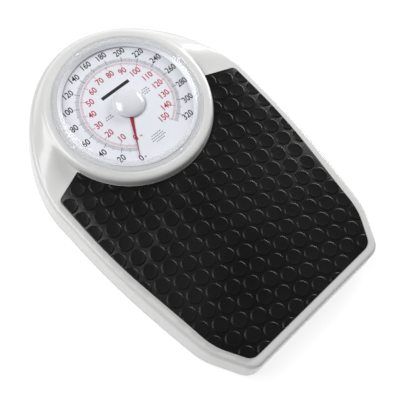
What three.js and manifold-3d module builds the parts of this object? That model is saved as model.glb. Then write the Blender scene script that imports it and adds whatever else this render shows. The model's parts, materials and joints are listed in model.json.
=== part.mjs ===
// Mechanical dial platform scale: a pressed steel platform cover with a ribbed tread mat, standing
// on four knife-edge pivots, over a base tray that holds two levers, a bell crank, a rack and a
// pinion that turns the pointer under a clear lens.
// Millimetres. +Z is up, +Y points from the standing area to the dial, X = 0 is the mirror plane,
// and the feet stand on Z = 0. The parts are laid out about an origin of their own, and every one
// is then moved by PLAN_SHIFT along Y, which puts the middle of the platform on the part's origin.
import * as THREE from "three";
import { mergeVertices } from "three/addons/utils/BufferGeometryUtils.js";
import Module from "manifold-3d";

const wasm = await Module();
wasm.setup();

// ---- Driving dimensions -------------------------------------------------------------------
const DIAL_Y = 97.6; // centre of the dial
const FRONT_EDGE = -234; // platform skirt, front
const REAR_EDGE = 214; // platform skirt, rear
const PLAN_SHIFT = -(FRONT_EDGE + REAR_EDGE) / 2;
const HALF_WIDTH = 153.8; // platform skirt at its widest
const SKIRT_Z = 12; // lower edge of the skirt
const WALL_TOP_Z = 40; // where the drafted wall meets the rounded shoulder
const DRAFT = 3.8; // how far the wall leans in over its height
const SHOULDER_R = 5;
const DECK_Z = 45; // flat top that the mat lies on
const COVER_T = 1.2;
const RING_CREST_Z = 56.5; // top of the raised ring round the dial
const RING_FOOT_R = 103.9;
const RING_TOP_R = 101.3;
const SEAT_R = 90.6; // recess in the ring that takes the lens flange
const SEAT_Z = 55.2;
const BORE_R = 84.5;
const MAT_Z = 45.3;
const MAT_T = 1.5;
const LENS_FLANGE_R = 90.2;
const LENS_TOP_Z = 64.5;
const FACE_R = 82;
const FACE_Z = 50.5;
const FACE_T = 1;
const DOME_R = 19.5;
const DOME_TOP_Z = 60.2;
const DOME_Z = 52.2;
const NEEDLE_TIP_R = 70;
const NEEDLE_Z = 51.3;
const NEEDLE_T = 0.6;
const ZERO_CLOCK = 210; // rest direction of the pointer, degrees clockwise from +Y

const TRAY_INSET = 9; // base tray inside the skirt
const TRAY_Z = 6;
const TRAY_T = 1.2;
const TRAY_WALL_Z = 20;
const FOOT_R = 12;

const PIVOT_Z = 22; // height of all knife pins
const PIN_R = 2;
const ARM = 30; // fulcrum to load knife, both levers
const FRONT_Y = -195; // front fulcrums
const REAR_Y = 130; // rear fulcrums
const KNIFE_X = 95; // middle of the fulcrum and load brackets
const BAR_X = 86; // lever side bars
const BRACKET_W = 10;
const BRACKET_L = 16;
const MEET_Y = (FRONT_Y + REAR_Y) / 2; // where the rear lever bears on the main lever

const CRANK_Y = 70; // bell crank pivot
const CRANK_Z = 15;
const CRANK_HALF_SWING = THREE.MathUtils.degToRad(13.34);
const CRANK_ARM = 26; // pivot to the main lever's nose
const CRANK_UP = 28.37; // pivot to the rack pin
const NOSE_Y = CRANK_Y - CRANK_ARM * Math.cos(CRANK_HALF_SWING);
const SPRING_Y = 55;

const TOOTH_MODULE = 0.5;
const TEETH = 10;
const PINION_R = (TOOTH_MODULE * TEETH) / 2;
const RACK_TRAVEL = 13.09;
const RACK_Z = 41;
const RACK_H = 2.8;
const GEAR_GAP = 0.15;

const WHEEL_Y = 198; // zero-adjust wheel
const WHEEL_Z = 16;
const WHEEL_R = 11;
const ROD_R = 2;

// ---- Finishes -----------------------------------------------------------------------------
const finish = (color, roughness, metalness, more = {}) =>
  new THREE.MeshStandardMaterial({ color, roughness, metalness, ...more });
const WHITE_PAINT = () => finish(0xe8e8e4, 0.35, 0.0);
const MAT_RUBBER = () => finish(0x1c1b1b, 0.55, 0.0);
const CLEAR = () => finish(0xdfe6ee, 0.05, 0.0, { transparent: true, opacity: 0.3 });
const IVORY = () => finish(0xf1f2f4, 0.3, 0.0);
const STEEL = () => finish(0x9a9da0, 0.4, 0.9);
const DARK_STEEL = () => finish(0x5b5e60, 0.5, 0.8);
const BRASS = () => finish(0xb79a4e, 0.35, 0.9);
const RED = () => finish(0xb3202c, 0.4, 0.0);
const RUBBER = () => finish(0x26262a, 0.8, 0.0);
const GREY_PLASTIC = () => finish(0x4a4c50, 0.5, 0.0);

// ---- Helpers ------------------------------------------------------------------------------
const scale = new THREE.Group();
scale.name = "dial_platform_scale";

function solid(geometry) {
  const bare = geometry.index ? geometry.toNonIndexed() : geometry.clone();
  const only = new THREE.BufferGeometry();
  only.setAttribute("position", bare.getAttribute("position"));
  const merged = mergeVertices(only, 1e-4);
  const index = [];
  for (let i = 0; i < merged.index.count; i += 3) {
    const a = merged.index.getX(i);
    const b = merged.index.getX(i + 1);
    const c = merged.index.getX(i + 2);
    if (a !== b && b !== c && c !== a) index.push(a, b, c);
  }
  const mesh = new wasm.Mesh({
    numProp: 3,
    vertProperties: new Float32Array(merged.attributes.position.array),
    triVerts: new Uint32Array(index),
  });
  return new wasm.Manifold(mesh);
}

function geometryOf(body) {
  const mesh = body.getMesh();
  const stride = mesh.numProp;
  const points = new Float32Array(mesh.numVert * 3);
  for (let i = 0; i < mesh.numVert; i++) {
    points.set(mesh.vertProperties.subarray(i * stride, i * stride + 3), i * 3);
  }
  const g = new THREE.BufferGeometry();
  g.setAttribute("position", new THREE.BufferAttribute(points, 3));
  g.setIndex(new THREE.BufferAttribute(new Uint32Array(mesh.triVerts), 1));
  g.computeVertexNormals();
  return g;
}

function add(name, body, material) {
  const mesh = new THREE.Mesh(geometryOf(body.translate([0, PLAN_SHIFT, 0])), material);
  mesh.name = name;
  scale.add(mesh);
}

const union = (...bodies) => bodies.reduce((a, b) => a.add(b));

// Box between two corners.
function box(x0, y0, z0, x1, y1, z1) {
  const g = new THREE.BoxGeometry(x1 - x0, y1 - y0, z1 - z0);
  g.translate((x0 + x1) / 2, (y0 + y1) / 2, (z0 + z1) / 2);
  return solid(g);
}

// Flat bar on edge from one plan point to another.
function bar(x0, y0, x1, y1, width, z0, z1) {
  const length = Math.hypot(x1 - x0, y1 - y0) + width;
  const g = new THREE.BoxGeometry(length, width, z1 - z0);
  g.rotateZ(Math.atan2(y1 - y0, x1 - x0));
  g.translate((x0 + x1) / 2, (y0 + y1) / 2, (z0 + z1) / 2);
  return solid(g);
}

// Upright cylinder.
function post(x, y, r, z0, z1, segments = 20) {
  const g = new THREE.CylinderGeometry(r, r, z1 - z0, segments);
  g.rotateX(Math.PI / 2);
  g.translate(x, y, (z0 + z1) / 2);
  return solid(g);
}

// Cylinder along X.
function rodX(x0, x1, y, z, r, segments = 24) {
  const g = new THREE.CylinderGeometry(r, r, x1 - x0, segments);
  g.rotateZ(-Math.PI / 2);
  g.translate((x0 + x1) / 2, y, z);
  return solid(g);
}

// Cylinder along Y.
function rodY(y0, y1, x, z, r, segments = 24) {
  const g = new THREE.CylinderGeometry(r, r, y1 - y0, segments);
  g.translate(x, (y0 + y1) / 2, z);
  return solid(g);
}

// Turned body about a vertical axis from [radius, height] pairs, lowest point first, outside
// face on the way up.
function turned(x, y, profile, segments = 48, closed = false) {
  const points = profile.map(([r, z]) => new THREE.Vector2(r, z));
  if (closed) points.push(points[0].clone());
  const g = new THREE.LatheGeometry(points, segments);
  g.rotateX(Math.PI / 2);
  g.translate(x, y, 0);
  return solid(g);
}

// Body through closed level rings of equal point counts, lowest first, capped at both ends.
function loft(rings) {
  const count = rings[0].length;
  const points = [];
  for (const ring of rings) for (const p of ring) points.push(p.x, p.y, p.z);
  const index = [];
  for (let i = 0; i + 1 < rings.length; i++) {
    for (let j = 0; j < count; j++) {
      const a = i * count + j;
      const b = i * count + ((j + 1) % count);
      index.push(a, b, b + count, a, b + count, a + count);
    }
  }
  const low = rings[0].map((p) => new THREE.Vector2(p.x, p.y));
  for (const [a, b, c] of THREE.ShapeUtils.triangulateShape(low, [])) index.push(a, c, b);
  const high = rings[rings.length - 1].map((p) => new THREE.Vector2(p.x, p.y));
  const top = (rings.length - 1) * count;
  for (const [a, b, c] of THREE.ShapeUtils.triangulateShape(high, [])) {
    index.push(top + a, top + b, top + c);
  }
  const g = new THREE.BufferGeometry();
  g.setAttribute("position", new THREE.Float32BufferAttribute(points, 3));
  g.setIndex(index);
  return solid(g);
}

// ---- Plan outline of the platform skirt -----------------------------------------------------
const v = (x, y) => new THREE.Vector2(x, y);
const halfPath = [
  [new THREE.LineCurve(v(0, FRONT_EDGE), v(92, FRONT_EDGE)), 1],
  [new THREE.QuadraticBezierCurve(v(92, FRONT_EDGE), v(106.2, FRONT_EDGE), v(113, -222)), 6],
  [new THREE.LineCurve(v(113, -222), v(128.4, -194)), 1],
  [new THREE.QuadraticBezierCurve(v(128.4, -194), v(135.8, -181), v(138.3, -160)), 4],
  [
    new THREE.CubicBezierCurve(v(138.3, -160), v(147.4, -98.8), v(HALF_WIDTH, -50), v(HALF_WIDTH, 20)),
    9,
  ],
  [
    new THREE.CubicBezierCurve(v(HALF_WIDTH, 20), v(HALF_WIDTH, 34), v(155, 44), v(153.4, 56)),
    3,
  ],
  [
    new THREE.CubicBezierCurve(v(153.4, 56), v(144, 125), v(83, REAR_EDGE), v(0, REAR_EDGE)),
    16,
  ],
];

function sampled(path) {
  const right = [];
  for (const [curve, steps] of path) {
    const points = curve.getPoints(steps);
    right.push(...(right.length ? points.slice(1) : points));
  }
  const left = right.slice(1, -1).reverse();
  return [...right, ...left.map((p) => v(-p.x, p.y))];
}

// Moves every corner of a closed outline inwards so that its edges shift by the given distance.
function inset(outline, distance) {
  const n = outline.length;
  return outline.map((p, i) => {
    const before = p.clone().sub(outline[(i + n - 1) % n]).normalize();
    const after = outline[(i + 1) % n].clone().sub(p).normalize();
    const normal = v(-before.y - after.y, before.x + after.x).normalize();
    const lean = normal.x * -before.y + normal.y * before.x;
    return p.clone().addScaledVector(normal, distance / lean);
  });
}

const SKIRT = sampled(halfPath);
const level = (outline, z) => outline.map((p) => new THREE.Vector3(p.x, p.y, z));

// ---- Platform cover -------------------------------------------------------------------------
// Wall and shoulder as [inset, height] pairs, for a sheet shifted in by the given thickness.
function shellProfile(t, bottom) {
  const pairs = [
    [t, bottom],
    [DRAFT + t, WALL_TOP_Z],
  ];
  const r = SHOULDER_R - t;
  for (let i = 1; i <= 4; i++) {
    const a = (i / 4) * (Math.PI / 2);
    pairs.push([DRAFT + t + r * (1 - Math.cos(a)), WALL_TOP_Z + r * Math.sin(a)]);
  }
  return pairs.map(([d, z]) => level(inset(SKIRT, d), z));
}

// Distance from the dial centre to a closed outline along one direction.
function reach(outline, angle) {
  const dx = Math.cos(angle);
  const dy = Math.sin(angle);
  let best = 0;
  outline.forEach((p, i) => {
    const q = outline[(i + 1) % outline.length];
    const px = p.x;
    const py = p.y - DIAL_Y;
    const ex = q.x - p.x;
    const ey = q.y - p.y;
    const cross = dx * ey - dy * ex;
    if (Math.abs(cross) < 1e-9) return;
    const along = (px * ey - py * ex) / cross;
    const share = (px * dy - py * dx) / cross;
    if (share >= -1e-9 && share <= 1 + 1e-9 && along > best) best = along;
  });
  return best;
}

// The raised head. Behind the mat's slanted cuts it swells out of the deck, turning from nothing
// at the cuts to a full crown between the shoulder and the ring; beside the mat only the ring's
// own wall stands up from the deck.
const HEAD_STEPS = 60;
const HEAD_EDGE = inset(SKIRT, DRAFT + SHOULDER_R * 0.75);
const CUT_ANGLE = THREE.MathUtils.degToRad(-15.2); // slanted cut of the mat, seen from the dial
const SWELL = THREE.MathUtils.degToRad(26); // turn over which the crown reaches its full height
const FLAT_Z = DECK_Z - 0.4; // head surface where it is hidden in the deck
const CROWN_LOW_Z = 45.8;
const CROWN_HIGH_Z = 54.4;

const headTurns = [];
for (let i = 0; i < HEAD_STEPS; i++) headTurns.push((i / HEAD_STEPS) * 2 * Math.PI);
for (const a of [0, 0.25, 0.5, 0.75]) {
  headTurns.push(2 * Math.PI + CUT_ANGLE + a * SWELL, Math.PI - CUT_ANGLE - a * SWELL);
}
headTurns.forEach((a, i) => {
  headTurns[i] = a % (2 * Math.PI);
});
headTurns.sort((a, b) => a - b);

function headRing(radiusAt, heightAt) {
  return headTurns.map((a) => {
    const up = Math.asin(Math.sin(a));
    const share = THREE.MathUtils.smoothstep(up, CUT_ANGLE, CUT_ANGLE + SWELL);
    const r = radiusAt(reach(HEAD_EDGE, a));
    return new THREE.Vector3(r * Math.cos(a), DIAL_Y + r * Math.sin(a), heightAt(share));
  });
}

function headRings(t) {
  const side = t * 1.6; // a steep sheet is thicker along the plan than across itself
  const low = FLAT_Z - t * 1.05;
  const rings = [headRing((edge) => edge - side, () => (t ? WALL_TOP_Z + 2 : low - 1.4))];
  for (const s of [0, 0.05, 0.3, 0.65, 1]) {
    const rise = 0.35 * s + 0.65 * Math.sin((s * Math.PI) / 2);
    const high = CROWN_LOW_Z + (CROWN_HIGH_Z - CROWN_LOW_Z) * rise - t * 1.05;
    rings.push(
      headRing(
        (edge) => edge - side + (RING_FOOT_R - edge) * s,
        (share) => low + (high - low) * share * Math.min(1, s * 20),
      ),
    );
  }
  if (t) {
    rings.push(headRing(() => RING_TOP_R - side, () => CROWN_HIGH_Z - t));
    rings.push(headRing(() => 97, () => SEAT_Z - t));
    return rings;
  }
  rings.push(headRing(() => RING_TOP_R, () => CROWN_HIGH_Z + 0.4));
  rings.push(headRing(() => 99.4, () => 55.7));
  rings.push(headRing(() => 96.8, () => 56.3));
  rings.push(headRing(() => 94, () => RING_CREST_Z));
  rings.push(headRing(() => 91.6, () => RING_CREST_Z - 0.2));
  rings.push(headRing(() => SEAT_R, () => RING_CREST_Z - 0.9));
  rings.push(headRing(() => SEAT_R, () => SEAT_Z));
  return rings;
}

const coverOuter = loft(shellProfile(0, SKIRT_Z)).add(loft(headRings(0)));
const coverInner = loft(shellProfile(COVER_T, SKIRT_Z - 1)).add(loft(headRings(COVER_T)));
const coverBore = post(0, DIAL_Y, BORE_R, 38, 60, 72);
add("platform_cover", coverOuter.subtract(coverInner).subtract(coverBore), WHITE_PAINT());

// Room under the cover for what is fixed to it.
const SKIN_GAP = COVER_T + 0.3;
const underCover = loft(shellProfile(SKIN_GAP, SKIRT_Z)).add(loft(headRings(SKIN_GAP)));

// ---- Tread mat ------------------------------------------------------------------------------
const MAT_ARC_R = RING_FOOT_R + 0.8;
const MAT_CUT_A = THREE.MathUtils.degToRad(-15.4);
const MAT_FRONT = -219;
const matShape = new THREE.Shape();
matShape.moveTo(-88.6, MAT_FRONT);
matShape.lineTo(88.6, MAT_FRONT);
matShape.quadraticCurveTo(98, MAT_FRONT, 102.2, -211.8);
matShape.lineTo(113.1, -192.7);
matShape.quadraticCurveTo(120.6, -179.6, 122.6, -162);
matShape.bezierCurveTo(129.5, -100, 139.5, -60, 139.5, 15);
matShape.lineTo(139.5, 49);
matShape.quadraticCurveTo(139.6, 54.6, 135.6, 56.4);
matShape.lineTo(MAT_ARC_R * Math.cos(MAT_CUT_A) + 0.6, DIAL_Y + MAT_ARC_R * Math.sin(MAT_CUT_A) - 0.2);
matShape.absarc(0, DIAL_Y, MAT_ARC_R, MAT_CUT_A, Math.PI - MAT_CUT_A, true);
matShape.lineTo(-135.6, 56.4);
matShape.quadraticCurveTo(-139.6, 54.6, -139.5, 49);
matShape.lineTo(-139.5, 15);
matShape.bezierCurveTo(-139.5, -60, -129.5, -100, -122.6, -162);
matShape.quadraticCurveTo(-120.6, -179.6, -113.1, -192.7);
matShape.lineTo(-102.2, -211.8);
matShape.quadraticCurveTo(-98, MAT_FRONT, -88.6, MAT_FRONT);
const matGeometry = new THREE.ExtrudeGeometry(matShape, {
  depth: MAT_T - 0.8,
  bevelEnabled: true,
  bevelThickness: 0.4,
  bevelSize: 0.4,
  bevelOffset: -0.4,
  bevelSegments: 1,
  curveSegments: 10,
});
matGeometry.translate(0, 0, MAT_Z + 0.4);
const matSolid = solid(matGeometry).subtract(box(-200, -300, 0, 200, 200, MAT_Z));
add("tread_mat", matSolid, MAT_RUBBER());

// ---- Lens and bezel -------------------------------------------------------------------------
const lensProfile = [
  [0, LENS_TOP_Z - 1.3],
  [50, LENS_TOP_Z - 1.6],
  [77, LENS_TOP_Z - 2.3],
  [80.6, LENS_TOP_Z - 3.2],
  [81.6, LENS_TOP_Z - 4.6],
  [83.4, SEAT_Z + 0.9],
  [84.6, SEAT_Z + 0.3],
  [LENS_FLANGE_R, SEAT_Z + 0.3],
  [LENS_FLANGE_R, SEAT_Z + 1.3],
  [LENS_FLANGE_R - 0.4, SEAT_Z + 1.6],
  [85.6, SEAT_Z + 1.6],
  [84.8, SEAT_Z + 2.3],
  [83, LENS_TOP_Z - 3.6],
  [81.6, LENS_TOP_Z - 1.9],
  [78, LENS_TOP_Z - 0.9],
  [50, LENS_TOP_Z - 0.3],
  [0, LENS_TOP_Z],
];
add("dial_lens", turned(0, DIAL_Y, lensProfile, 56), CLEAR());

const bezelProfile = [
  [78.8, 52.2],
  [84.2, 52.2],
  [84.2, 55.1],
  [83.4, 55.3],
  [79.2, 52.9],
];
add("dial_bezel", turned(0, DIAL_Y, bezelProfile, 56, true), IVORY());

// ---- Load brackets under the cover ----------------------------------------------------------
// A notch with square flanks, its apex facing away from the pin.
function notch(x, y, z) {
  const g = new THREE.BoxGeometry(BRACKET_W + 4, 12, 12);
  g.rotateX(Math.PI / 4);
  g.translate(x, y, z);
  return solid(g);
}
const NOTCH_DEPTH = (PIN_R + 0.35) * Math.SQRT2;
const NOTCH_HALF = 12 / Math.SQRT2;

function loadBracket(x, y, top) {
  const w = BRACKET_W / 2;
  const l = BRACKET_L / 2;
  const leg = box(x - w, y - l, 19, x + w, y + l, top);
  const plate = box(x - w - 3, y - l - 3, top - 1.6, x + w, y + l + 3, top);
  const cut = notch(x, y, PIVOT_Z + NOTCH_DEPTH - NOTCH_HALF);
  return leg.add(plate).intersect(underCover).subtract(cut);
}
for (const [side, s] of [["left", -1], ["right", 1]]) {
  const front = loadBracket(KNIFE_X, FRONT_Y + ARM, DECK_Z - COVER_T - 0.3);
  const rear = loadBracket(KNIFE_X, REAR_Y - ARM, SEAT_Z - COVER_T - 1.3);
  add("load_bracket_front_" + side, s > 0 ? front : front.mirror([1, 0, 0]), STEEL());
  add("load_bracket_rear_" + side, s > 0 ? rear : rear.mirror([1, 0, 0]), STEEL());
}

// ---- Base tray ------------------------------------------------------------------------------
const trayEdge = inset(SKIRT, TRAY_INSET);
const trayIn = inset(SKIRT, TRAY_INSET + TRAY_T);
let tray = loft([
  level(inset(SKIRT, TRAY_INSET + 2), TRAY_Z),
  level(trayEdge, TRAY_Z + 2),
  level(trayEdge, TRAY_WALL_Z),
]);
tray = tray.subtract(
  loft([
    level(inset(SKIRT, TRAY_INSET + 3), TRAY_Z + TRAY_T),
    level(trayIn, TRAY_Z + TRAY_T + 1.8),
    level(trayIn, TRAY_WALL_Z + 1),
  ]),
);
// Pressed stiffening beads, hollow from below.
function bead(x0, y0, x1, y1) {
  const over = bar(x0, y0, x1, y1, 8, TRAY_Z + 0.4, TRAY_Z + TRAY_T + 1);
  const under = bar(x0, y0, x1, y1, 5.6, TRAY_Z - 1, TRAY_Z + 1);
  return [over, under];
}
for (const s of [-1, 1]) {
  for (const [x0, y0, x1, y1] of [
    [60, -150, 60, 60],
    [44, -205, 100, -110],
    [56, 178, 70, 60],
  ]) {
    const [over, under] = bead(s * x0, y0, s * x1, y1);
    tray = tray.add(over).subtract(under);
  }
}
const wheelSlot = box(-9, WHEEL_Y - 5, TRAY_Z - 2, 9, WHEEL_Y + 5, TRAY_Z + 4);
add("base_tray", tray.subtract(wheelSlot), DARK_STEEL());

const footProfile = [
  [0, 0],
  [FOOT_R - 1.5, 0],
  [FOOT_R, 1.5],
  [FOOT_R - 1, TRAY_Z - 0.3],
  [0, TRAY_Z - 0.3],
];
const FEET = [
  ["front_left", -92, -168],
  ["front_right", 92, -168],
  ["rear_left", -76, 152],
  ["rear_right", 76, 152],
];
for (const [where, x, y] of FEET) {
  add("foot_" + where, turned(x, y, footProfile, 28), RUBBER());
}

// ---- Fulcrum brackets -----------------------------------------------------------------------
const FLOOR_Z = TRAY_Z + TRAY_T + 0.3; // parts that stand in the tray
function fulcrum(x, y) {
  const w = BRACKET_W / 2;
  const l = BRACKET_L / 2;
  const leg = box(x - w, y - l, FLOOR_Z, x + w, y + l, 25);
  const plate = box(x - w - 3, y - l - 3, FLOOR_Z, x + w, y + l + 3, FLOOR_Z + 1.6);
  return leg.add(plate).subtract(notch(x, y, PIVOT_Z - NOTCH_DEPTH + NOTCH_HALF));
}
for (const [side, s] of [["left", -1], ["right", 1]]) {
  const front = fulcrum(KNIFE_X, FRONT_Y);
  const rear = fulcrum(KNIFE_X, REAR_Y);
  add("fulcrum_front_" + side, s > 0 ? front : front.mirror([1, 0, 0]), STEEL());
  add("fulcrum_rear_" + side, s > 0 ? rear : rear.mirror([1, 0, 0]), STEEL());
}

// ---- Levers ---------------------------------------------------------------------------------
const mainParts = [];
const rearParts = [];
for (const s of [-1, 1]) {
  const pin = (y) => rodX(s > 0 ? 84 : -100.5, s > 0 ? 100.5 : -84, y, PIVOT_Z, PIN_R, 12);
  mainParts.push(bar(s * BAR_X, FRONT_Y - 6, s * BAR_X, FRONT_Y + ARM + 8, 2.4, 17, 27));
  mainParts.push(bar(s * BAR_X, FRONT_Y + ARM + 7, s * 6, 34, 2.2, 19.5, 26.8));
  mainParts.push(pin(FRONT_Y), pin(FRONT_Y + ARM));
  rearParts.push(bar(s * BAR_X, REAR_Y + 6, s * BAR_X, REAR_Y - ARM - 8, 2.4, 17, 27));
  rearParts.push(bar(s * BAR_X, REAR_Y - ARM - 7, s * 45, MEET_Y, 2.2, 19.5, 26.8));
  rearParts.push(box(s * 45 - 2, MEET_Y - 4, 19.5, s * 45 + 2, MEET_Y + 5, 32.4));
  rearParts.push(pin(REAR_Y), pin(REAR_Y - ARM));
}
mainParts.push(box(-58.2, -92, 21, 58.2, -89.6, 26.5));
mainParts.push(box(-7.6, 27, 24.6, 7.6, NOSE_Y + 2.6, 29.4));
mainParts.push(rodX(-7, 7, NOSE_Y, CRANK_Z + 10.7, 3, 16));
add("main_lever", union(...mainParts), STEEL());
rearParts.push(rodX(-46, 46, MEET_Y, 29.9, 2.5, 16));
add("rear_lever", union(...rearParts), STEEL());

// ---- Bell crank and its bracket --------------------------------------------------------------
function tilted(g) {
  g.rotateX(-CRANK_HALF_SWING);
  g.translate(0, CRANK_Y, CRANK_Z);
  return solid(g);
}
const pad = new THREE.BoxGeometry(14, CRANK_ARM + 1.5, 2);
pad.translate(0, -(CRANK_ARM + 1.5) / 2, 0);
const upright = new THREE.BoxGeometry(1.5, 5, CRANK_UP);
upright.translate(8.75, 0, CRANK_UP / 2);
const eye = new THREE.CylinderGeometry(2, 2, 1.5, 20);
eye.rotateZ(Math.PI / 2);
eye.translate(8.75, 0, CRANK_UP);
const driver = new THREE.CylinderGeometry(1, 1, 5.2, 16);
driver.rotateZ(Math.PI / 2);
driver.translate(6, 0, CRANK_UP);
const crankHub = rodX(-8, 9.5, CRANK_Y, CRANK_Z, 4);
const crankBore = rodX(-12, 12, CRANK_Y, CRANK_Z, 2.08);
const crank = union(tilted(pad), tilted(upright), tilted(eye), tilted(driver), crankHub);
add("bell_crank", crank.subtract(crankBore), STEEL());
add("crank_pin", rodX(-14.8, 14.8, CRANK_Y, CRANK_Z, 2), STEEL());

const EAR_X = 12;
let anchor = union(
  box(-EAR_X - 1.5, 49, 46, EAR_X + 1.5, 78, 47.4),
  box(-EAR_X - 1.5, 58, FLOOR_Z, -EAR_X, 78, 47),
  box(EAR_X, 58, FLOOR_Z, EAR_X + 1.5, 78, 47),
  box(-EAR_X - 11, 58, FLOOR_Z, -EAR_X, 78, FLOOR_Z + 1.5),
  box(EAR_X, 58, FLOOR_Z, EAR_X + 11, 78, FLOOR_Z + 1.5),
);
anchor = anchor.subtract(rodX(-20, 20, CRANK_Y, CRANK_Z, 2.3));
add("spring_bracket", anchor, DARK_STEEL());

// ---- Main spring ----------------------------------------------------------------------------
class SpringLine extends THREE.Curve {
  getPoint(t, target = new THREE.Vector3()) {
    const low = 23.4;
    const high = 42.6;
    const turns = 6;
    const lead = 0.06;
    if (t < lead) return target.set(5 * (t / lead), SPRING_Y, 20.5 + (low - 20.5) * (t / lead));
    if (t > 1 - lead) {
      const s = (1 - t) / lead;
      return target.set(5 * s, SPRING_Y, 45 - (45 - high) * s);
    }
    const s = (t - lead) / (1 - 2 * lead);
    const a = s * turns * 2 * Math.PI;
    return target.set(5 * Math.cos(a), SPRING_Y + 5 * Math.sin(a), low + (high - low) * s);
  }
}
const wire = new THREE.Shape();
wire.absarc(0, 0, 0.7, 0, 2 * Math.PI);
const springGeometry = new THREE.ExtrudeGeometry(wire, {
  steps: 78,
  curveSegments: 3,
  extrudePath: new SpringLine(),
});
add("main_spring", solid(springGeometry), STEEL());

// ---- Dial bridge, bearing and face ------------------------------------------------------------
let bridge = union(
  box(-39.5, DIAL_Y - 14, 47.7, 39.5, DIAL_Y + 14, 49.2),
  box(-39.5, DIAL_Y - 12, FLOOR_Z, -38, DIAL_Y + 12, 48),
  box(38, DIAL_Y - 12, FLOOR_Z, 39.5, DIAL_Y + 12, 48),
  box(-52, DIAL_Y - 12, FLOOR_Z, -38, DIAL_Y + 12, FLOOR_Z + 1.5),
  box(38, DIAL_Y - 12, FLOOR_Z, 52, DIAL_Y + 12, FLOOR_Z + 1.5),
);
bridge = bridge.subtract(post(0, DIAL_Y, 3.5, 46, 50, 24));
add("dial_bridge", bridge, DARK_STEEL());

const bearingProfile = [
  [1.28, 45.6],
  [3.2, 45.6],
  [3.2, 50.4],
  [1.28, 50.4],
];
add("pinion_bearing", turned(0, DIAL_Y, bearingProfile, 24, true), BRASS());

const faceProfile = [
  [3.6, FACE_Z - FACE_T],
  [FACE_R, FACE_Z - FACE_T],
  [FACE_R, FACE_Z],
  [3.6, FACE_Z],
];
add("dial_face", turned(0, DIAL_Y, faceProfile, 56, true), IVORY());

const guide = union(
  box(7.4, DIAL_Y - 9, 39, 10, DIAL_Y + 9, 47.4),
  box(4.2, DIAL_Y - 9, 39, 8, DIAL_Y + 9, 40.6),
);
add("rack_guide", guide, STEEL());

// ---- Rack and pinion --------------------------------------------------------------------------
const PITCH = Math.PI * TOOTH_MODULE;
const RACK_LINE = PINION_R + GEAR_GAP; // pitch line of the rack
const DRIVE_Y = CRANK_Y + CRANK_UP * Math.sin(CRANK_HALF_SWING);
const rackShape = new THREE.Shape();
const rackBack = 7;
const rackRoot = RACK_LINE + 1.25 * TOOTH_MODULE;
const rackTip = RACK_LINE - TOOTH_MODULE;
rackShape.moveTo(rackRoot, DRIVE_Y - 2.4);
const toothCount = Math.ceil(RACK_TRAVEL / PITCH) + 3;
for (let i = 0; i < toothCount; i++) {
  const y = DIAL_Y + (i - 1) * PITCH;
  rackShape.lineTo(rackRoot, y - 0.52);
  rackShape.lineTo(rackTip, y - 0.16);
  rackShape.lineTo(rackTip, y + 0.16);
  rackShape.lineTo(rackRoot, y + 0.52);
}
const rackEnd = DIAL_Y + (toothCount - 1) * PITCH;
rackShape.lineTo(rackRoot, rackEnd);
rackShape.lineTo(rackBack, rackEnd);
rackShape.lineTo(rackBack, DRIVE_Y - 2.4);
rackShape.closePath();
const rackGeometry = new THREE.ExtrudeGeometry(rackShape, { depth: RACK_H, bevelEnabled: false });
rackGeometry.translate(0, 0, RACK_Z);
const fork = box(3.4, DRIVE_Y - 2.4, 40.2, rackBack, DRIVE_Y + 2.6, 44.6);
const slot = box(0, DRIVE_Y - 1.15, 41.1, 8, DRIVE_Y + 1.15, 46);
add("rack", solid(rackGeometry).add(fork).subtract(slot), BRASS());

const pinionShape = new THREE.Shape();
for (let i = 0; i < TEETH; i++) {
  const middle = ((i + 0.5) / TEETH) * 2 * Math.PI;
  const at = (r, degrees) => {
    const a = middle + THREE.MathUtils.degToRad(degrees);
    return [r * Math.cos(a), r * Math.sin(a)];
  };
  const root = PINION_R - 1.25 * TOOTH_MODULE;
  const corner = [at(root, -10), at(PINION_R, -7), at(PINION_R + TOOTH_MODULE, -2.6)];
  const other = [at(PINION_R + TOOTH_MODULE, 2.6), at(PINION_R, 7), at(root, 10)];
  [...corner, ...other].forEach(([x, y], k) => {
    if (i === 0 && k === 0) pinionShape.moveTo(x, y);
    else pinionShape.lineTo(x, y);
  });
}
pinionShape.closePath();
const pinionGeometry = new THREE.ExtrudeGeometry(pinionShape, { depth: 4, bevelEnabled: false });
pinionGeometry.translate(0, DIAL_Y, 40.4);
const spindle = post(0, DIAL_Y, 1.2, 39.6, 56.5, 24);
add("pinion_shaft", solid(pinionGeometry).add(spindle), BRASS());

// ---- Pointer and hub dome ---------------------------------------------------------------------
const needleShape = new THREE.Shape();
needleShape.moveTo(-2.6, 0);
needleShape.lineTo(-2.35, 18);
needleShape.lineTo(-0.6, 52);
needleShape.lineTo(-0.35, NEEDLE_TIP_R);
needleShape.lineTo(0.35, NEEDLE_TIP_R);
needleShape.lineTo(0.6, 52);
needleShape.lineTo(2.35, 18);
needleShape.lineTo(2.6, 0);
needleShape.closePath();
const needleGeometry = new THREE.ExtrudeGeometry(needleShape, {
  depth: NEEDLE_T,
  bevelEnabled: false,
});
needleGeometry.rotateZ(-THREE.MathUtils.degToRad(ZERO_CLOCK));
needleGeometry.translate(0, DIAL_Y, NEEDLE_Z);
const needleHub = post(0, DIAL_Y, 7, NEEDLE_Z, NEEDLE_Z + NEEDLE_T, 32);
const needleBore = post(0, DIAL_Y, 1.5, 50, 54, 24);
add("pointer", solid(needleGeometry).add(needleHub).subtract(needleBore), RED());

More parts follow.
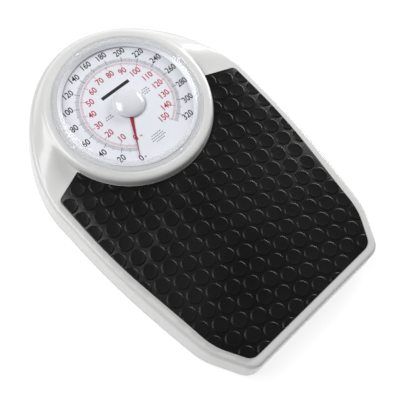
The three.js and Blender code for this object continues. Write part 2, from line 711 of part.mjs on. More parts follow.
// Dome cap as a shell with an inner boss that takes the spindle.
const domeOuter = [];
const domeInner = [];
const DOME_H = DOME_TOP_Z - DOME_Z;
for (let i = 0; i <= 7; i++) {
  const a = (i / 7) * (Math.PI / 2);
  domeOuter.push([DOME_R * Math.cos(a), DOME_Z + DOME_H * Math.sin(a)]);
}
for (let i = 0; i <= 5; i++) {
  const a = (i / 5) * (Math.PI / 2);
  domeInner.push([(DOME_R - 1.2) * Math.cos(a), DOME_Z + (DOME_H - 1.2) * Math.sin(a)]);
}
domeOuter[7][0] = 0;
domeInner[5][0] = 0;
const domeShell = turned(0, DIAL_Y, [[0, DOME_Z], ...domeOuter], 36).subtract(
  turned(0, DIAL_Y, [[0, DOME_Z - 1], [DOME_R - 1.2, DOME_Z - 1], ...domeInner], 36),
);
const domeBoss = post(0, DIAL_Y, 3.6, DOME_Z + 0.3, DOME_TOP_Z - 1, 24);
const domeBore = post(0, DIAL_Y, 1.5, DOME_Z - 2, 57, 24);
add("hub_dome", domeShell.add(domeBoss).subtract(domeBore), IVORY());

// ---- Zero adjustment ---------------------------------------------------------------------------
const wheelShape = new THREE.Shape();
const RIBS = 18;
for (let i = 0; i < RIBS * 2; i++) {
  const a = (i / (RIBS * 2)) * 2 * Math.PI;
  const r = i % 2 ? WHEEL_R : WHEEL_R - 0.7;
  if (i === 0) wheelShape.moveTo(r * Math.cos(a), r * Math.sin(a));
  else wheelShape.lineTo(r * Math.cos(a), r * Math.sin(a));
}
wheelShape.closePath();
const wheelGeometry = new THREE.ExtrudeGeometry(wheelShape, { depth: 7, bevelEnabled: false });
wheelGeometry.translate(0, 0, -3.5);
wheelGeometry.rotateX(Math.PI / 2);
wheelGeometry.translate(0, WHEEL_Y, WHEEL_Z);
const wheelBore = rodY(WHEEL_Y - 6, WHEEL_Y + 6, 0, WHEEL_Z, ROD_R + 0.3);
add("zero_wheel", solid(wheelGeometry).subtract(wheelBore), GREY_PLASTIC());
add("zero_rod", rodY(117, WHEEL_Y + 4, 0, WHEEL_Z, ROD_R), STEEL());

const rodHole = rodY(100, 220, 0, WHEEL_Z, ROD_R + 0.07);
const carriage = union(
  box(-8, 120, 11, 8, 128, 20.5),
  box(-4, 122, 9, 4, 126, 12),
);
add("zero_carriage", carriage.subtract(rodHole), STEEL());
const rodBlock = union(
  box(-5, 181, FLOOR_Z, 5, 186, 21),
  box(-12, 177, FLOOR_Z, 12, 190, FLOOR_Z + 1.6),
);
add("rod_block", rodBlock.subtract(rodHole), STEEL());

// ---- Screws --------------------------------------------------------------------------------------
function screw(x, y, z) {
  const head = turned(x, y, [[0, z], [3.4, z], [3.4, z + 1], [2, z + 1.8], [0, z + 1.8]], 14);
  return head.subtract(box(x - 4, y - 0.45, z + 1, x + 4, y + 0.45, z + 3));
}
add("bridge_screw_left", screw(-46, DIAL_Y, FLOOR_Z + 1.8), STEEL());
add("bridge_screw_right", screw(46, DIAL_Y, FLOOR_Z + 1.8), STEEL());
add("bracket_screw_left", screw(-18.5, 68, FLOOR_Z + 1.8), STEEL());
add("bracket_screw_right", screw(18.5, 68, FLOOR_Z + 1.8), STEEL());

export default scale;
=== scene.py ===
import bpy
import json
import math
import numpy as np
from mathutils import Matrix, Vector


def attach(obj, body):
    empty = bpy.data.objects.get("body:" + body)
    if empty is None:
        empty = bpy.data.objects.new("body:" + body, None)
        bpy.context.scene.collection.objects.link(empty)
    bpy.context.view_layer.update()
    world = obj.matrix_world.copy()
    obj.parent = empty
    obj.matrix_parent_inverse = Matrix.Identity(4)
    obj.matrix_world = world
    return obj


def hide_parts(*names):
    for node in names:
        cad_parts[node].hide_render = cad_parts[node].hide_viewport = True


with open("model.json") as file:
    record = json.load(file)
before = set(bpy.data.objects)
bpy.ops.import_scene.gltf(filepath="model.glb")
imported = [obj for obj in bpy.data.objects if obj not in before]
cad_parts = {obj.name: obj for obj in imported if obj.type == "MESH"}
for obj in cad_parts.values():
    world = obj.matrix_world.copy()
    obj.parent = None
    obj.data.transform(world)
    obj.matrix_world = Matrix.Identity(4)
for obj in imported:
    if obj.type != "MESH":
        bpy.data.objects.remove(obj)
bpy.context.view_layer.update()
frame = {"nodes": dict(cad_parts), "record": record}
record = frame["record"]
MM = 0.001

# ---------------------------------------------------------------- dimensions, millimetres
SHIFT = 10.0  # plan shift from the layout's own origin to the part's
DIAL_Y = 97.6
FRONT = -234.0
REAR = 214.0
HALF_W = 153.8
FACE_Z = 50.5
PRINT_Z = FACE_Z + 0.05
LENS_Z = 64.4  # crown of the lens
LENS_WALL_R = 79.5  # the lens's wall and flange lie outside this radius
SEAT_Z = 55.2
BORE_R = 84.5
SEAT_R = 90.6
DECK_Z = 45.0
MAT_Z = 45.3
MAT_TOP = 46.4
DISC_PITCH = 21.0
DISC_ROW = 19.47
DISC_R = 8.9
DISC_H = 0.85
DISC_X0, DISC_Y0 = 96.1, -191.9
DISC_TURN = math.radians(-0.72)
CUT = math.radians(-15.2)  # where the raised head starts, seen from the dial centre
SWELL = math.radians(26)  # turn over which the head reaches its full height
DRAFT, WALL_Z, SHOULDER = 3.8, 40.0, 5.0  # lean of the skirt, top of its wall, shoulder radius
SHEET_T = 1.2
CROWN_END_R = 104.6  # where the head meets the foot of the dial ring
MAT_ARC_R = 104.7
MAT_CUT = math.radians(-15.4)
LB_STEP = 0.9124  # degrees of the dial to a pound
KG_STEP = 2.0116  # degrees of the dial to a kilogram
ZERO = 210.0  # clock angle of the rest mark, degrees
LB_TEXT_R, KG_TEXT_R = 72.4, 45.6


# ---------------------------------------------------------------- mesh helpers
def make(name, verts, faces, mat=None, smooth=35.0):
    """Mesh object from millimetre points, smooth except across edges sharper than the angle."""
    me = bpy.data.meshes.new(name)
    me.from_pydata([(v[0] * MM, (v[1] + SHIFT) * MM, v[2] * MM) for v in verts], [], faces)
    me.validate()
    me.update()
    ob = bpy.data.objects.new(name, me)
    bpy.context.scene.collection.objects.link(ob)
    if mat is not None:
        me.materials.append(mat)
    if smooth is not None:
        soften(ob, smooth)
    return ob


def soften(ob, angle):
    """Shade smooth, with edges sharp where two faces turn by more than the angle."""
    me = ob.data
    me.polygons.foreach_set("use_smooth", [True] * len(me.polygons))
    normals = [p.normal.copy() for p in me.polygons]
    edge_faces = {}
    for p in me.polygons:
        for k in p.edge_keys:
            edge_faces.setdefault(k, []).append(p.index)
    limit = math.cos(math.radians(angle))
    sharp = []
    for e in me.edges:
        f = edge_faces.get(tuple(sorted(e.vertices)), [])
        sharp.append(len(f) != 2 or normals[f[0]].dot(normals[f[1]]) < limit)
    me.edges.foreach_set("use_edge_sharp", sharp)
    me.update()


def lathe(name, profile, mat, n=192, smooth=35.0, closed=True):
    """Body of revolution about the dial's axis from radius, height pairs."""
    verts, faces, rows = [], [], []
    for r, z in profile:
        if r < 1e-6:
            rows.append([len(verts)])
            verts.append((0.0, DIAL_Y, z))
            continue
        row = []
        for k in range(n):
            a = 2 * math.pi * k / n
            row.append(len(verts))
            verts.append((r * math.cos(a), DIAL_Y + r * math.sin(a), z))
        rows.append(row)
    pairs = list(zip(rows, rows[1:]))
    if closed and len(rows[0]) > 1:
        pairs.append((rows[-1], rows[0]))
    for a, b in pairs:
        if len(a) == 1 and len(b) == 1:
            continue
        for k in range(n):
            j = (k + 1) % n
            if len(a) == 1:
                faces.append((a[0], b[j], b[k]))
            elif len(b) == 1:
                faces.append((a[k], a[j], b[0]))
            else:
                faces.append((a[k], a[j], b[j], b[k]))
    return make(name, verts, faces, mat, smooth)


# ---------------------------------------------------------------- materials
def new_mat(name):
    """Empty node material, its node tree and its output node."""
    m = bpy.data.materials.new(name)
    m.use_nodes = True
    nt = m.node_tree
    for n in list(nt.nodes):
        nt.nodes.remove(n)
    out = nt.nodes.new("ShaderNodeOutputMaterial")
    return m, nt, out


def surface(name, color, rough=0.4, metal=0.0, spread=0.03, grain=900.0, bump=0.02, coat=0.0,
            wear=0.05, stretch=None, spec=0.5, dirt=0.04, dirt_scale=14.0):
    """Principled surface whose colour, roughness and fine relief vary with object-space noise."""
    m, nt, out = new_mat(name)
    N, L = nt.nodes, nt.links
    b = N.new("ShaderNodeBsdfPrincipled")
    L.new(b.outputs[0], out.inputs[0])
    tc = N.new("ShaderNodeTexCoord")
    mp = N.new("ShaderNodeMapping")
    L.new(tc.outputs["Object"], mp.inputs[0])
    if stretch:
        mp.inputs["Scale"].default_value = stretch
    broad = N.new("ShaderNodeTexNoise")
    broad.inputs["Scale"].default_value = dirt_scale
    broad.inputs["Detail"].default_value = 5
    L.new(tc.outputs["Object"], broad.inputs["Vector"])
    fine = N.new("ShaderNodeTexNoise")
    fine.inputs["Scale"].default_value = grain
    fine.inputs["Detail"].default_value = 3
    L.new(mp.outputs[0], fine.inputs["Vector"])
    ramp = N.new("ShaderNodeValToRGB")
    lo = [max(0.0, c * (1 - spread - dirt)) for c in color]
    hi = [min(1.0, c * (1 + spread)) for c in color]
    ramp.color_ramp.elements[0].position = 0.32
    ramp.color_ramp.elements[0].color = (*lo, 1)
    ramp.color_ramp.elements[1].position = 0.62
    ramp.color_ramp.elements[1].color = (*hi, 1)
    L.new(broad.outputs["Fac"], ramp.inputs[0])
    L.new(ramp.outputs[0], b.inputs["Base Color"])
    rr = N.new("ShaderNodeMapRange")
    rr.inputs["From Min"].default_value = 0.3
    rr.inputs["From Max"].default_value = 0.7
    rr.inputs["To Min"].default_value = max(0.02, rough - wear)
    rr.inputs["To Max"].default_value = rough + wear
    L.new(fine.outputs["Fac"], rr.inputs["Value"])
    L.new(rr.outputs[0], b.inputs["Roughness"])
    b.inputs["Metallic"].default_value = metal
    b.inputs["Specular IOR Level"].default_value = spec
    b.inputs["Coat Weight"].default_value = coat
    b.inputs["Coat Roughness"].default_value = 0.12
    bp = N.new("ShaderNodeBump")
    bp.inputs["Strength"].default_value = bump
    bp.inputs["Distance"].default_value = 0.0006
    L.new(fine.outputs["Fac"], bp.inputs["Height"])
    L.new(bp.outputs[0], b.inputs["Normal"])
    return m


enamel = surface("white_enamel_paint", (0.72, 0.725, 0.715), 0.33, spread=0.012, dirt=0.015,
                 grain=520, bump=0.05, coat=0.25, wear=0.06)
rubber = surface("mat_rubber_moulded", (0.0075, 0.0070, 0.0068), 0.30, spread=0.3, dirt=0.15,
                 grain=1900, bump=0.06, wear=0.06, spec=0.26)
bezel_white = surface("bezel_plastic", (0.93, 0.935, 0.955), 0.3, spread=0.02, grain=700, bump=0.02)
dome_white = surface("dome_plastic", (0.84, 0.845, 0.86), 0.16, spread=0.01, dirt=0.01, grain=600,
                     bump=0.008, wear=0.03, coat=0.5)
face_print = surface("dial_card", (0.90, 0.905, 0.93), 0.45, spread=0.008, dirt=0.012, grain=2600,
                     bump=0.02)
ink_black = surface("ink_black", (0.012, 0.012, 0.015), 0.5, spread=0.2, grain=3500, bump=0.02)
ink_red = surface("ink_red", (0.50, 0.015, 0.045), 0.5, spread=0.1, grain=3500, bump=0.02)
ink_grey = surface("ink_grey", (0.20, 0.20, 0.22), 0.5, spread=0.1, grain=3500, bump=0.02)
needle_red = surface("needle_enamel", (0.36, 0.008, 0.03), 0.35, spread=0.06, grain=1500,
                     bump=0.02, coat=0.3)
zinc = surface("zinc_plate", (0.55, 0.56, 0.57), 0.36, metal=1.0, spread=0.10, grain=420, bump=0.06,
               wear=0.10, dirt=0.08, dirt_scale=45)
galvan = surface("galvanised_sheet", (0.36, 0.37, 0.385), 0.42, metal=0.9, spread=0.16, grain=160,
                 bump=0.05, wear=0.12, dirt=0.12, dirt_scale=60)
brass = surface("machined_brass", (0.62, 0.46, 0.19), 0.3, metal=1.0, spread=0.08, grain=800,
                bump=0.04, stretch=(1, 1, 9))
foot_rub = surface("foot_rubber_grip", (0.03, 0.03, 0.032), 0.7, spread=0.2, grain=1400, bump=0.2,
                   spec=0.3)
grey_pl = surface("wheel_plastic", (0.085, 0.088, 0.095), 0.45, spread=0.1, grain=1700, bump=0.12)


def clear(name, tint, body, haze, rough=0.03, ior=1.45):
    """Clear moulded plastic: see-through, a gloss that grows at grazing angles, haze and scuffs."""
    m, nt, out = new_mat(name)
    N, L = nt.nodes, nt.links
    tr = N.new("ShaderNodeBsdfTransparent")
    tr.inputs[0].default_value = (*tint, 1)
    gl = N.new("ShaderNodeBsdfPrincipled")
    gl.inputs["Base Color"].default_value = (*body, 1)
    gl.inputs["Metallic"].default_value = 0.0
    df = N.new("ShaderNodeBsdfGlossy")
    df.inputs["Color"].default_value = (1, 1, 1, 1)
    tc = N.new("ShaderNodeTexCoord")
    no = N.new("ShaderNodeTexNoise")
    no.inputs["Scale"].default_value = 60
    no.inputs["Detail"].default_value = 6
    L.new(tc.outputs["Object"], no.inputs["Vector"])
    rr = N.new("ShaderNodeMapRange")
    rr.inputs["To Min"].default_value = rough
    rr.inputs["To Max"].default_value = rough + 0.06
    L.new(no.outputs["Fac"], rr.inputs["Value"])
    L.new(rr.outputs[0], df.inputs["Roughness"])
    L.new(rr.outputs[0], gl.inputs["Roughness"])
    hz = N.new("ShaderNodeMapRange")
    hz.inputs["To Min"].default_value = haze * 0.85
    hz.inputs["To Max"].default_value = haze * 1.15
    L.new(no.outputs["Fac"], hz.inputs["Value"])
    m1 = N.new("ShaderNodeMixShader")
    L.new(hz.outputs[0], m1.inputs[0])
    L.new(tr.outputs[0], m1.inputs[1])
    L.new(gl.outputs[0], m1.inputs[2])
    f0 = ((ior - 1) / (ior + 1)) ** 2
    lw = N.new("ShaderNodeLayerWeight")
    lw.inputs["Blend"].default_value = 0.5
    pw = N.new("ShaderNodeMath")
    pw.operation = "POWER"
    pw.inputs[1].default_value = 5.0
    L.new(lw.outputs["Facing"], pw.inputs[0])
    fr = N.new("ShaderNodeMapRange")
    fr.inputs["To Min"].default_value = f0
    L.new(pw.outputs[0], fr.inputs["Value"])
    m2 = N.new("ShaderNodeMixShader")
    L.new(fr.outputs[0], m2.inputs[0])
    L.new(m1.outputs[0], m2.inputs[1])
    L.new(df.outputs[0], m2.inputs[2])
    L.new(m2.outputs[0], out.inputs[0])
    return m


lens_top_mat = clear("lens_clear", (0.985, 0.99, 1.0), (0.8, 0.83, 0.9), 0.0, rough=0.01, ior=1.3)
lens_wall_mat = clear("lens_wall", (0.98, 0.98, 0.99), (0.95, 0.96, 0.98), 0.20, rough=0.10,
                      ior=1.35)


# ---------------------------------------------------------------- outline of the skirt
def bez(points, t):
    """Point at t on the Bezier curve of any degree through the control points."""
    pts = [np.array(p, float) for p in points]
    while len(pts) > 1:
        pts = [a * (1 - t) + b * t for a, b in zip(pts, pts[1:])]
    return pts[0]


def half_skirt():
    """Right half of the skirt's foot line, from the front middle round to the rear middle."""
    parts = [
        ([(0, FRONT), (92, FRONT)], 30),
        ([(92, FRONT), (106.2, FRONT), (113, -222)], 14),
        ([(113, -222), (128.4, -194)], 10),
        ([(128.4, -194), (135.8, -181), (138.3, -160)], 12),
        ([(138.3, -160), (147.4, -98.8), (HALF_W, -50), (HALF_W, 20)], 44),
        ([(HALF_W, 20), (HALF_W, 34), (155, 44), (153.4, 56)], 10),
        ([(153.4, 56), (144, 125), (83, REAR), (0, REAR)], 76),
    ]
    pts = []
    for ctrl, n in parts:
        pts += [bez(ctrl, i / n) for i in range(0 if not pts else 1, n + 1)]
    return np.array(pts)


right = half_skirt()
left = right[1:-1][::-1] * np.array([-1, 1])
SKIRT = np.vstack([right, left])


def inset(outline, d):
    """The closed outline moved inwards by d, with its corners kept."""
    prev = outline - np.roll(outline, 1, 0)
    nxt = np.roll(outline, -1, 0) - outline
    prev /= np.linalg.norm(prev, axis=1)[:, None]
    nxt /= np.linalg.norm(nxt, axis=1)[:, None]
    n = np.stack([-prev[:, 1] - nxt[:, 1], prev[:, 0] + nxt[:, 0]], 1)
    n /= np.linalg.norm(n, axis=1)[:, None]
    lean = n[:, 0] * -prev[:, 1] + n[:, 1] * prev[:, 0]
    return outline + n * (d / lean)[:, None]


def reach(outline, angles):
    """Distance from the dial centre to the outline along each angle."""
    p = outline - np.array([0, DIAL_Y])
    q = np.roll(p, -1, 0)
    e = q - p
    out = []
    for a in angles:
        dx, dy = math.cos(a), math.sin(a)
        cross = dx * e[:, 1] - dy * e[:, 0]
        cross = np.where(np.abs(cross) < 1e-12, 1e-12, cross)
        along = (p[:, 0] * e[:, 1] - p[:, 1] * e[:, 0]) / cross
        share = (p[:, 0] * dy - p[:, 1] * dx) / cross
        ok = (share > -1e-6) & (share < 1 + 1e-6) & (along > 0)
        out.append(along[ok].max())
    return np.array(out)


# ---------------------------------------------------------------- platform cover
def smooth01(x):
    """Smooth step from 0 to 1."""
    x = min(1.0, max(0.0, x))
    return x * x * (3 - 2 * x)


def head_share(a):
    """Share of the head's height at angle a: 0 along the deck, 1 round the back."""
    up = math.asin(max(-1, min(1, math.sin(a))))
    return smooth01((up - CUT) / SWELL)


sk = SKIRT - np.array([0, DIAL_Y])
angles = sorted(set(np.round(np.arctan2(sk[:, 1], sk[:, 0]), 5)))
extra = [CUT + SWELL * i / 24 for i in range(-1, 26)]
angles += extra + [-math.pi - a for a in extra]
angles += [math.pi * k / 90 - math.pi for k in range(180)]
angles = sorted((a + 3 * math.pi) % (2 * math.pi) - math.pi for a in angles)
angles = [a for i, a in enumerate(angles) if i == 0 or a - angles[i - 1] > 2.5e-3]
ANG = np.array(angles)
SHARE = np.array([head_share(a) for a in angles])


def crown(r, rs):
    """Height of the head between its shoulder at radius rs and the dial ring."""
    f = np.clip((rs - r) / (rs - 101.0), 0, 1)
    return 45.6 + 9.1 * (0.35 * f + 0.65 * np.sin(f * math.pi / 2))


def cover_rings():
    """Closed chain of rings: up the skirt, over the head, into the seat and back underneath."""
    rings = []

    def ring(radius, z):
        rings.append((np.broadcast_to(np.asarray(radius, float), ANG.shape).copy(),
                      np.broadcast_to(np.asarray(z, float), ANG.shape).copy()))

    for d, z in [(1.0, 12.0), (0.35, 12.15), (0.05, 12.6), (1.05, 20), (2.15, 28), (2.95, 34)]:
        ring(reach(inset(SKIRT, d), ANG), z)
    for i in range(0, 9):
        a = i / 8 * math.pi / 2
        d = DRAFT + SHOULDER * (1 - math.cos(a))
        ring(reach(inset(SKIRT, d), ANG), WALL_Z + SHOULDER * math.sin(a))
    rs = reach(inset(SKIRT, DRAFT + SHOULDER), ANG)
    for f in [0.015, 0.04, 0.1, 0.2, 0.32, 0.44, 0.56, 0.68, 0.8, 0.9, 0.96]:
        r = rs + (CROWN_END_R - rs) * f
        lift = smooth01(f / 0.04)
        z = DECK_Z + (crown(r, rs) - DECK_Z) * SHARE * lift
        ring(r, z)
    for r, z in [(104.4, 45.0), (104.05, 45.15), (103.85, 45.6), (103.5, 47.5), (102.95, 50.5),
                 (102.25, 53.0), (101.5, 54.3), (100.4, 55.2)]:
        top = crown(np.full(ANG.shape, r), rs) if r > 101 else np.full(ANG.shape, 54.95)
        blend = np.maximum(top, z) if r <= 101.6 else top
        ring(r, z + (blend - z) * SHARE)
    for r, z in [(99.2, 55.75), (97.6, 56.15), (96.6, 56.3), (96.2, 56.28), (95.8, 56.32),
                 (94.4, 56.5), (92.6, 56.42), (91.4, 56.1), (90.8, 55.7), (SEAT_R, 55.3),
                 (SEAT_R - 0.1, SEAT_Z), (87, SEAT_Z), (BORE_R + 0.3, SEAT_Z),
                 (BORE_R, SEAT_Z - 0.3), (BORE_R, 54.0)]:
        ring(r, z)
    ring(97.0, 54.0)
    for f in [0.0, 0.3, 0.7, 1.0]:
        r = 99.6 + (rs - 1.5 - 99.6) * f
        z = 43.8 + (np.minimum(crown(r, rs), 54.4) - 1.4 - 43.8) * SHARE
        z = np.where(SHARE < 0.01, 43.8, z)
        ring(r, z)
    for i in range(4, -1, -1):
        a = i / 4 * math.pi / 2
        d = DRAFT + SHEET_T + (SHOULDER - SHEET_T) * (1 - math.cos(a))
        ring(reach(inset(SKIRT, d), ANG), WALL_Z + (SHOULDER - SHEET_T) * math.sin(a) - 0.02)
    ring(reach(inset(SKIRT, SHEET_T), ANG), 12.4)
    return rings


def build_cover():
    rings = cover_rings()
    verts, faces = [], []
    n = len(ANG)
    for r, z in rings:
        for k in range(n):
            verts.append((r[k] * math.cos(ANG[k]), DIAL_Y + r[k] * math.sin(ANG[k]), z[k]))
    m = len(rings)
    for i in range(m):
        i2 = (i + 1) % m
        for k in range(n):
            k2 = (k + 1) % n
            faces.append((i * n + k, i * n + k2, i2 * n + k2, i2 * n + k))
    return make("cover_shell", verts, faces, enamel, 48)


cover = build_cover()
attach(cover, "platform")
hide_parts("platform_cover")

# ---------------------------------------------------------------- tread mat
def mat_outline():
    """Edge of the mat: straight front, cut corners, bowed sides and the arc round the dial."""
    pts = []
    half = [
        ([(0, -219), (88.6, -219)], 8),
        ([(88.6, -219), (98, -219), (102.2, -211.8)], 10),
        ([(102.2, -211.8), (113.1, -192.7)], 3),
        ([(113.1, -192.7), (120.6, -179.6), (122.6, -162)], 8),
        ([(122.6, -162), (129.5, -100), (139.5, -60), (139.5, 15)], 24),
        ([(139.5, 15), (139.5, 49)], 2),
        ([(139.5, 49), (139.6, 54.6), (135.6, 56.4)], 6),
    ]
    for ctrl, n in half:
        pts += [bez(ctrl, i / n) for i in range(0 if not pts else 1, n + 1)]
    arc = [np.array([MAT_ARC_R * math.cos(a), DIAL_Y + MAT_ARC_R * math.sin(a)])
           for a in np.linspace(MAT_CUT, -math.pi / 2, 48)]
    arc[0] += np.array([0.6, -0.2])
    pts += arc
    right_half = np.array(pts)
    left_half = right_half[1:-1][::-1] * np.array([-1, 1])
    return np.vstack([right_half, left_half])


MAT = mat_outline()


def inside_dist(p, poly):
    """Signed distance to the polygon, positive inside, and the nearest edge point."""
    a = poly
    b = np.roll(poly, -1, 0)
    ab = b - a
    t = np.clip(((p - a) * ab).sum(1) / (ab ** 2).sum(1), 0, 1)
    near = a + ab * t[:, None]
    d = np.linalg.norm(near - p, axis=1)
    i = int(d.argmin())
    crossing = (a[:, 1] > p[1]) != (b[:, 1] > p[1])
    with np.errstate(divide="ignore", invalid="ignore"):
        x = a[:, 0] + (p[1] - a[:, 1]) / (b[:, 1] - a[:, 1]) * ab[:, 0]
    odd = int((crossing & (p[0] < x)).sum()) % 2 == 1
    return (d[i] if odd else -d[i]), near[i]


def build_mat():
    verts, faces = [], []
    rings = [(0.9, MAT_Z), (0.0, MAT_Z + 0.1), (0.0, MAT_TOP - 0.45), (0.15, MAT_TOP - 0.15),
             (0.5, MAT_TOP)]
    n = len(MAT)
    for d, z in rings:
        for p in (inset(MAT, d) if d else MAT):
            verts.append((p[0], p[1], z))
    for i in range(len(rings) - 1):
        for k in range(n):
            k2 = (k + 1) % n
            faces.append((i * n + k, i * n + k2, (i + 1) * n + k2, (i + 1) * n + k))
    faces.append(tuple(reversed(range(n))))
    faces.append(tuple(range(4 * n, 5 * n)))
    return make("mat_sheet", verts, faces, rubber, 40)


def build_discs():
    """Raised discs on a staggered grid, each drawn in where the mat's edge cuts it."""
    verts, faces = [], []
    edge = inset(MAT, 1.1)
    seg = 40
    prof = [(DISC_R + 0.9, MAT_TOP - 0.05), (DISC_R + 0.45, MAT_TOP + 0.06),
            (DISC_R + 0.12, MAT_TOP + 0.28), (DISC_R - 0.1, MAT_TOP + 0.6),
            (DISC_R - 0.45, MAT_TOP + DISC_H - 0.04), (DISC_R - 0.9, MAT_TOP + DISC_H),
            (DISC_R - 1.5, MAT_TOP + DISC_H - 0.05), (DISC_R - 2.4, MAT_TOP + DISC_H - 0.16),
            (4.0, MAT_TOP + DISC_H - 0.22), (0.0, MAT_TOP + DISC_H - 0.24)]
    ct, st = math.cos(DISC_TURN), math.sin(DISC_TURN)
    for c in range(-3, 14):
        for r in range(-9, 22):
            u, w = -DISC_ROW * c, DISC_PITCH * (r - 0.5 * c)
            x0, y0 = DISC_X0 + u * ct - w * st, DISC_Y0 + w * ct + u * st
            d, _ = inside_dist(np.array([x0, y0]), edge)
            if d < -DISC_R * 0.55:
                continue
            base = len(verts)
            for rad, z in prof:
                if rad == 0.0:
                    q = np.array([x0, y0])
                    dd, nn = inside_dist(q, edge) if d < DISC_R + 1 else (1, q)
                    q = nn if dd < 0 else q
                    verts.append((q[0], q[1], z))
                    continue
                for k in range(seg):
                    a = 2 * math.pi * k / seg
                    q = np.array([x0 + rad * math.cos(a), y0 + rad * math.sin(a)])
                    if d < DISC_R + 1.2:
                        dd, nn = inside_dist(q, edge)
                        q = nn if dd < 0 else q
                    verts.append((q[0], q[1], z))
            for i in range(len(prof) - 2):
                for k in range(seg):
                    k2 = (k + 1) % seg
                    faces.append((base + i * seg + k, base + i * seg + k2,
                                  base + (i + 1) * seg + k2, base + (i + 1) * seg + k))
            apex = base + (len(prof) - 1) * seg
            i = len(prof) - 2
            for k in range(seg):
                faces.append((base + i * seg + k, base + i * seg + (k + 1) % seg, apex))
    return make("mat_discs", verts, faces, rubber, 60)


mat_sheet = build_mat()
mat_discs = build_discs()
for ob in (mat_sheet, mat_discs):
    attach(ob, "platform")
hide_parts("tread_mat")

# ---------------------------------------------------------------- lens, bezel, clips
lens = lathe("lens_shell", [
    (0, LENS_Z - 1.3), (50, LENS_Z - 1.6), (77, LENS_Z - 2.3), (79.6, LENS_Z - 2.8),
    (80.6, LENS_Z - 3.4), (81.5, LENS_Z - 4.6), (83.2, SEAT_Z + 1.3), (83.8, SEAT_Z + 0.6),
    (84.6, SEAT_Z + 0.3),
    (90.0, SEAT_Z + 0.3), (90.2, SEAT_Z + 0.5), (90.2, SEAT_Z + 1.2), (89.8, SEAT_Z + 1.6),
    (89.2, SEAT_Z + 1.7), (88.7, SEAT_Z + 1.55), (86.0, SEAT_Z + 1.5), (85.4, SEAT_Z + 1.7),
    (84.8, SEAT_Z + 2.4), (83.3, LENS_Z - 4.0), (82.6, LENS_Z - 2.6), (81.6, LENS_Z - 1.7),
    (80.0, LENS_Z - 1.15), (77, LENS_Z - 0.85), (50, LENS_Z - 0.3), (0, LENS_Z)],
    lens_top_mat, n=256, closed=False, smooth=50)
lens.data.materials.append(lens_wall_mat)
for p in lens.data.polygons:
    c = p.center
    if math.hypot(c.x, c.y - (DIAL_Y + SHIFT) * MM) > LENS_WALL_R * MM:
        p.material_index = 1
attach(lens, "platform")
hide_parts("dial_lens")

bezel = lathe("bezel_ring", [
    (78.8, 52.5), (79.0, 52.2), (84.2, 52.2), (84.2, 55.0), (83.9, 55.3), (83.4, 55.35),
    (79.3, 53.0), (78.9, 52.85)], bezel_white, n=256)
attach(bezel, "platform")
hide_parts("dial_bezel")


def clip(angle, name, mat):
    """Small snap clip on the lens flange, a tab with rounded corners."""
    c, s = math.cos(angle), math.sin(angle)
    sides, centre_r = 24, 87.4
    verts, faces = [], []
    outline = []
    for k in range(sides):
        a = 2 * math.pi * k / sides
        outline.append((0.9 * math.copysign(abs(math.cos(a)) ** 0.5, math.cos(a)),
                        2.2 * math.copysign(abs(math.sin(a)) ** 0.5, math.sin(a))))
    for grow, z in [(1.0, SEAT_Z + 1.3), (1.0, SEAT_Z + 1.6), (0.7, SEAT_Z + 1.75)]:
        for u, w in outline:
            r = centre_r + u * grow
            t = w * grow
            verts.append((r * c - t * s, DIAL_Y + r * s + t * c, z))
    for i in range(2):
        for k in range(sides):
            k2 = (k + 1) % sides
            faces.append((i * sides + k, i * sides + k2, (i + 1) * sides + k2, (i + 1) * sides + k))
    faces.append(tuple(range(2 * sides, 3 * sides)))
    faces.append(tuple(reversed(range(sides))))
    ob = make(name, verts, faces, mat, 30)
    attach(ob, "platform")


for i, deg in enumerate((4, 94, 184, 274)):
    clip(math.radians(deg), "lens_clip_%d" % i, bezel_white)

# ---------------------------------------------------------------- dial card and printing
card = lathe("dial_card_disc", [
    (3.6, FACE_Z - 1), (81.8, FACE_Z - 1), (82, FACE_Z - 0.8), (82, FACE_Z - 0.15),
    (81.85, FACE_Z), (3.8, FACE_Z), (3.6, FACE_Z - 0.2)], face_print, n=192)
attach(card, "base")
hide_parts("dial_face")


def clock(deg, r):
    """Point of the card at a clock angle, degrees from the top, and a radius."""
    a = math.radians(deg)
    return r * math.sin(a), r * math.cos(a)


def ticks(name, mat, step, count, inner_r, outer_r, half_width):
    """Ring of printed ticks from the rest mark on; the last three give each tick its size."""
    verts, faces = [], []
    for i in range(count):
        a = math.radians(ZERO + step * i)
        w = half_width(i)
        s, c = math.sin(a), math.cos(a)
        b = len(verts)
        for r, off in ((inner_r(i), -w), (outer_r(i), -w), (outer_r(i), w), (inner_r(i), w)):
            verts.append((r * s + off * c, DIAL_Y + r * c - off * s, PRINT_Z))
        faces.append((b, b + 1, b + 2, b + 3))
    ob = make(name, verts, faces, mat, None)
    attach(ob, "base")


def words(text, size, squeeze, bold, x, y, target):
    """Add flat printed characters, centred on a point of the card, to the target's mesh data."""
    cu = bpy.data.curves.new("glyphs", "FONT")
    cu.body = text
    cu.size = size
    cu.align_x = "CENTER"
    cu.align_y = "CENTER"
    cu.offset = bold
    cu.resolution_u = 3
    ob = bpy.data.objects.new("glyphs", cu)
    bpy.context.scene.collection.objects.link(ob)
    dg = bpy.context.evaluated_depsgraph_get()
    me = bpy.data.meshes.new_from_object(ob.evaluated_get(dg))
    verts = [(v.co.x * squeeze, v.co.y) for v in me.vertices]
    faces = [tuple(p.vertices) for p in me.polygons]
    bpy.data.objects.remove(ob)
    bpy.data.curves.remove(cu)
    bpy.data.meshes.remove(me)
    xs = [v[0] for v in verts]
    ys = [v[1] for v in verts]
    mid_x, mid_y = (min(xs) + max(xs)) / 2, (min(ys) + max(ys)) / 2
    b = len(target[0])
    for vx, vy in verts:
        target[0].append((x + (vx - mid_x), DIAL_Y + y + (vy - mid_y), PRINT_Z))
    target[1].extend(tuple(i + b for i in f) for f in faces)


